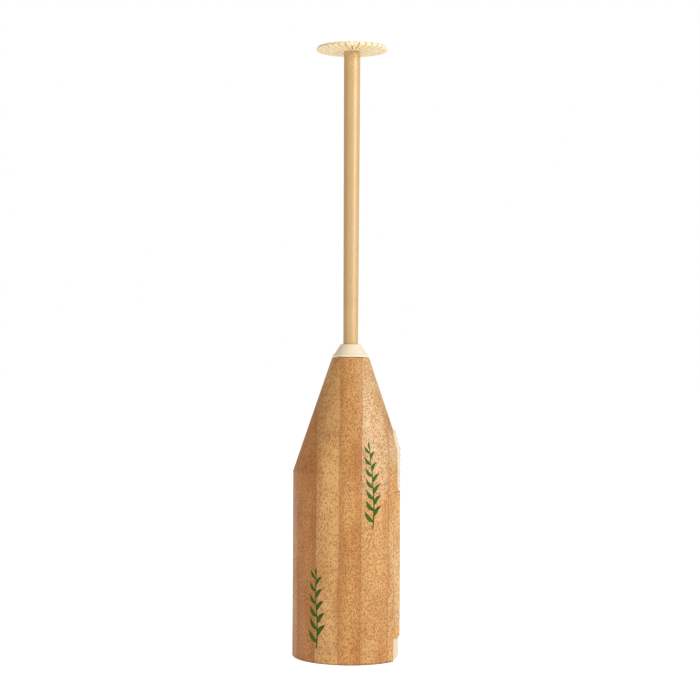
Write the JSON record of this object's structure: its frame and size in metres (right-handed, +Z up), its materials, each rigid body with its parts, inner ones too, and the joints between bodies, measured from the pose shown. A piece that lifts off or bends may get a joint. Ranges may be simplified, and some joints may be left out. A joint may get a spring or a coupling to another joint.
{
  "type": "electric matcha whisk",
  "caption": "Battery-powered matcha whisk: a bamboo handle with a flat side for the switch and battery door, and a long shaft that turns a slotted disc.",
  "frame": {"origin": "on the axis of the handle and the whisk, in the plane of the flat base that it stands on", "axes": "+Z up along the whisk's axis, from the base to the slotted disc; +X out of the handle's flat side, towards the switch and the battery door; Y across the two cells"},
  "size_m": [0.0387, 0.041, 0.219],
  "materials": {
    "bamboo": "laminated bamboo, satin lacquer",
    "cream_plastic": "moulded, satin",
    "head_plastic": "moulded, satin",
    "shaft_plastic": "moulded, glossy",
    "grey_plastic": "moulded, satin",
    "white_plastic": "moulded, satin",
    "steel": "plated",
    "brass": "stamped strip",
    "copper": "bare copper",
    "ferrite": "sintered",
    "cell_wrap": "printed sleeve without print",
    "lead_red": "insulation",
    "lead_black": "insulation"
  },
  "bodies": {
    "handle": {"bamboo_shell": "bamboo", "base_plate": "cream_plastic", "chassis": "cream_plastic", "switch_plate": "cream_plastic", "nose_cone": "cream_plastic", "shaft_bushing": "brass", "base_screw_1": "steel", "base_screw_2": "steel", "chassis_screw_1": "steel", "chassis_screw_2": "steel", "battery_cell_1": "cell_wrap", "battery_cell_2": "cell_wrap", "bridge_contact": "brass", "positive_contact": "brass", "negative_contact": "brass", "live_strip": "brass", "motor_strip": "brass", "lower_spring": "steel", "upper_spring": "steel", "motor_can": "steel", "motor_end_cap": "white_plastic", "motor_magnet_1": "ferrite", "motor_magnet_2": "ferrite", "motor_terminal_1": "brass", "motor_terminal_2": "brass", "lead_cell_to_switch": "lead_red", "lead_switch_to_motor": "lead_red", "lead_cell_to_motor": "lead_black"},
    "whisk": {"motor_shaft": "steel", "motor_armature": "steel", "motor_commutator": "copper", "motor_winding_1": "copper", "motor_winding_2": "copper", "motor_winding_3": "copper", "shaft_coupling": "white_plastic", "drive_rod": "steel", "whisk_shaft": "shaft_plastic", "whisk_head": "head_plastic"},
    "slider": {"switch_slider": "grey_plastic", "switch_wiper": "copper"},
    "door": {"battery_door": "bamboo", "door_liner": "cream_plastic"}
  },
  "joints": [
    {"name": "whisk_spin", "type": "hinge", "parent": "handle", "child": "whisk", "pos_m": [0, 0, 0.064], "axis": [0, 0, 1], "continuous": true},
    {"name": "switch_slide", "type": "slide", "parent": "handle", "child": "slider", "axis": [0, 0, 1], "range_m": [0, 0.002]},
    {"name": "door_swing", "type": "hinge", "parent": "handle", "child": "door", "pos_m": [0.0179, 0, 0.0597], "axis": [0, -1, 0], "range_deg": [0, 75]}
  ]
}
